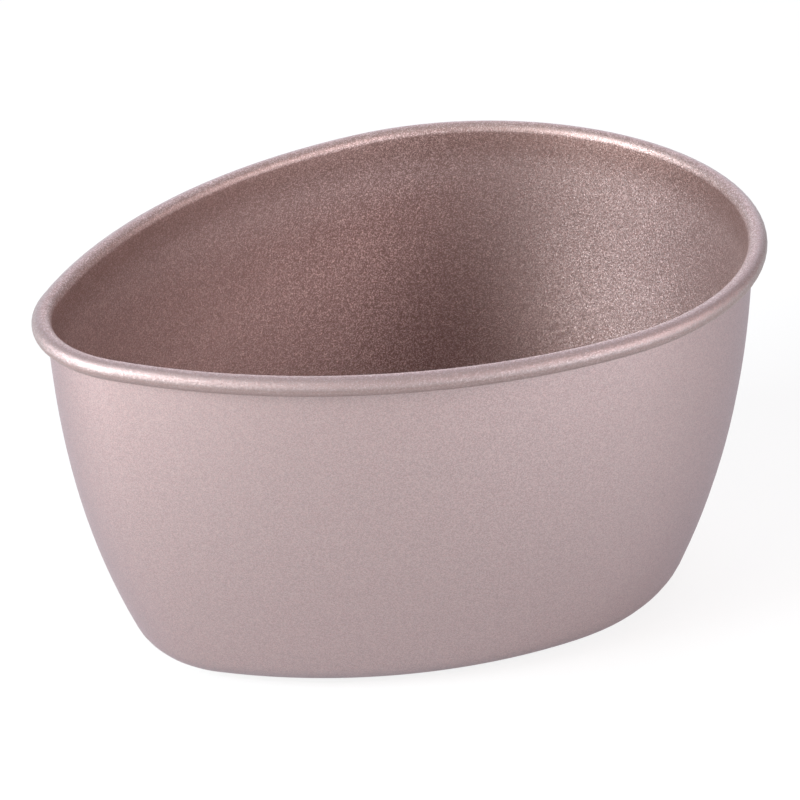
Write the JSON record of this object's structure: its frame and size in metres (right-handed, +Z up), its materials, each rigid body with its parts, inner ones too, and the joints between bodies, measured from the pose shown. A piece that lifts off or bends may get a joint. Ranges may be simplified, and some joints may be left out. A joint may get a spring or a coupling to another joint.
{
  "type": "pudding mould",
  "caption": "Egg-shaped pudding mould: a deep tapering cup of coated sheet steel with a flat base, rounded corner and outward-rolled rim, for baking or turning out a single portion.",
  "frame": {"origin": "on the surface the mould stands on, at the middle of its overall length and width", "axes": "+X along the long axis towards the broad end of the egg, +Y across the mould, +Z up out of the open mouth"},
  "size_m": [0.09, 0.0684, 0.046],
  "materials": {
    "steel": "bare drawn sheet, hidden under the coats",
    "inner_coat": "satin non-stick coat, warm mauve brown with coarse metallic flake",
    "outer_coat": "satin champagne-pink metallic lacquer with fine flake"
  },
  "bodies": {
    "root": {"steel_shell": "steel", "rolled_rim": "steel", "inner_nonstick_coat": "inner_coat", "outer_wall_coat": "outer_coat", "outer_base_coat": "outer_coat"}
  },
  "joints": []
}
